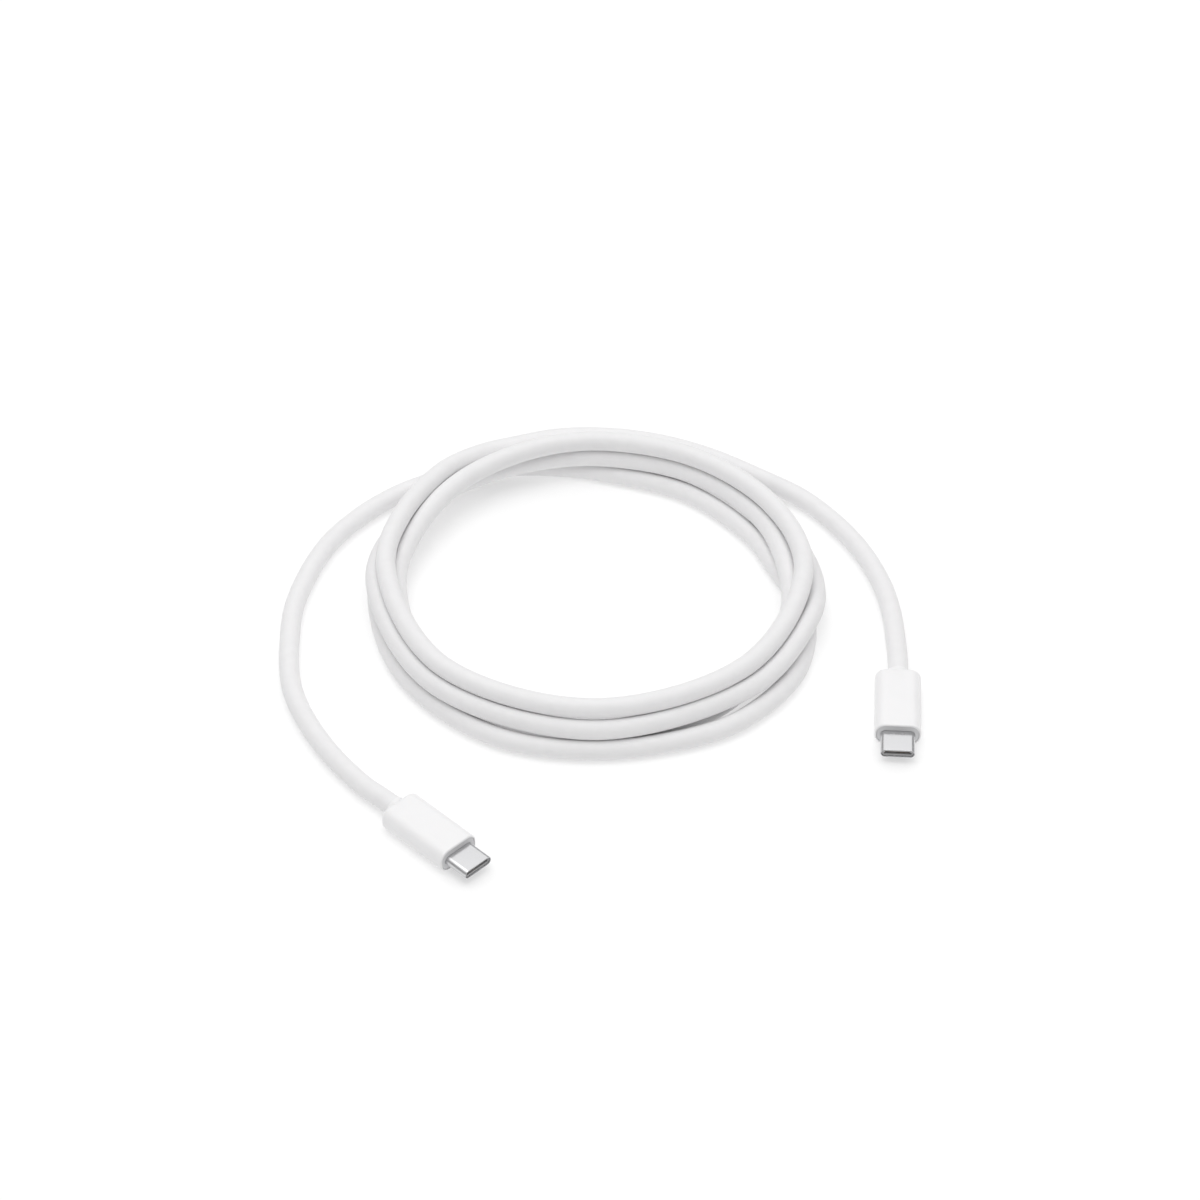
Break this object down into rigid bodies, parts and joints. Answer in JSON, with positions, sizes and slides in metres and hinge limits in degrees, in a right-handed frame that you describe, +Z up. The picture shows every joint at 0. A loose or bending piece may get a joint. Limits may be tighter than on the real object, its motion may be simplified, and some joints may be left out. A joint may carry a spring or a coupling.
{
  "type": "charging cable",
  "caption": "White charging cable with a reversible flat-oval metal plug in a rounded white housing at each end, laid in a loose round coil.",
  "frame": {"origin": "on the surface the cable lies on, under the centre of the box round the two plugs", "axes": "+Z up from that surface; +X along the longer side of the box round the two plugs, from the left plug to the right one; +Y away from the side that the plugs lie on, towards the coil"},
  "size_m": [0.158, 0.1597, 0.0143],
  "materials": {
    "cord_jacket": "smooth, soft and matte",
    "housing_plastic": "smooth satin, white",
    "cap_plastic": "smooth, pale grey",
    "collar_plastic": "smooth, white",
    "mould_plastic": "as moulded",
    "ferrule_metal": "stamped",
    "can_metal": "stamped",
    "card": "solder mask",
    "chip": "moulded",
    "shell_metal": "fine satin",
    "insert_plastic": "moulded",
    "contact_metal": "gold plated",
    "spring_metal": "stamped",
    "vbus_insulation": "extruded",
    "ground_insulation": "extruded",
    "data_plus_insulation": "extruded",
    "data_minus_insulation": "extruded",
    "cc_insulation": "extruded"
  },
  "bodies": {
    "cable": {"left_housing_sleeve": "housing_plastic", "left_front_cap": "cap_plastic", "left_strain_relief_collar": "collar_plastic", "left_inner_mould": "mould_plastic", "left_crimp_ferrule": "ferrule_metal", "left_shield_top": "can_metal", "left_shield_bottom": "can_metal", "left_paddle_card": "card", "left_marker_chip": "chip", "left_plug_shell": "shell_metal", "left_contact_insert": "insert_plastic", "left_upper_wafer": "insert_plastic", "left_lower_wafer": "insert_plastic", "left_latch_plate": "spring_metal", "left_upper_mouth_spring": "spring_metal", "left_lower_mouth_spring": "spring_metal", "left_vbus_wire": "vbus_insulation", "left_ground_wire": "ground_insulation", "left_data_plus_wire": "data_plus_insulation", "left_data_minus_wire": "data_minus_insulation", "left_cc_wire": "cc_insulation", "right_housing_sleeve": "housing_plastic", "right_front_cap": "cap_plastic", "right_strain_relief_collar": "collar_plastic", "right_inner_mould": "mould_plastic", "right_crimp_ferrule": "ferrule_metal", "right_shield_top": "can_metal", "right_shield_bottom": "can_metal", "right_paddle_card": "card", "right_marker_chip": "chip", "right_plug_shell": "shell_metal", "right_contact_insert": "insert_plastic", "right_upper_wafer": "insert_plastic", "right_lower_wafer": "insert_plastic", "right_latch_plate": "spring_metal", "right_upper_mouth_spring": "spring_metal", "right_lower_mouth_spring": "spring_metal", "right_vbus_wire": "vbus_insulation", "right_ground_wire": "ground_insulation", "right_data_plus_wire": "data_plus_insulation", "right_data_minus_wire": "data_minus_insulation", "right_cc_wire": "cc_insulation", "cord_coil": "cord_jacket", "left_cord_tail": "cord_jacket", "right_cord_tail": "cord_jacket"},
    "left_upper_contacts": {"left_upper_contacts": "contact_metal"},
    "left_lower_contacts": {"left_lower_contacts": "contact_metal"},
    "right_upper_contacts": {"right_upper_contacts": "contact_metal"},
    "right_lower_contacts": {"right_lower_contacts": "contact_metal"}
  },
  "joints": [
    {"name": "left_upper_contact_flex", "type": "hinge", "parent": "cable", "child": "left_upper_contacts", "pos_m": [-0.0497, -0.024, 0.00369], "axis": [-0.7071, -0.7071, 0], "range_deg": [0, 1], "stiffness_Nm_per_rad": 0.01},
    {"name": "left_lower_contact_flex", "type": "hinge", "parent": "cable", "child": "left_lower_contacts", "pos_m": [-0.0497, -0.024, 0.0027], "axis": [0.7071, 0.7071, 0], "range_deg": [0, 1], "stiffness_Nm_per_rad": 0.01},
    {"name": "right_upper_contact_flex", "type": "hinge", "parent": "cable", "child": "right_upper_contacts", "pos_m": [0.05834, 0.01753, 0.00369], "axis": [-0.9979, 0.0645, 0], "range_deg": [0, 1], "stiffness_Nm_per_rad": 0.01},
    {"name": "right_lower_contact_flex", "type": "hinge", "parent": "cable", "child": "right_lower_contacts", "pos_m": [0.05834, 0.01753, 0.0027], "axis": [0.9979, -0.0645, 0], "range_deg": [0, 1], "stiffness_Nm_per_rad": 0.01}
  ]
}
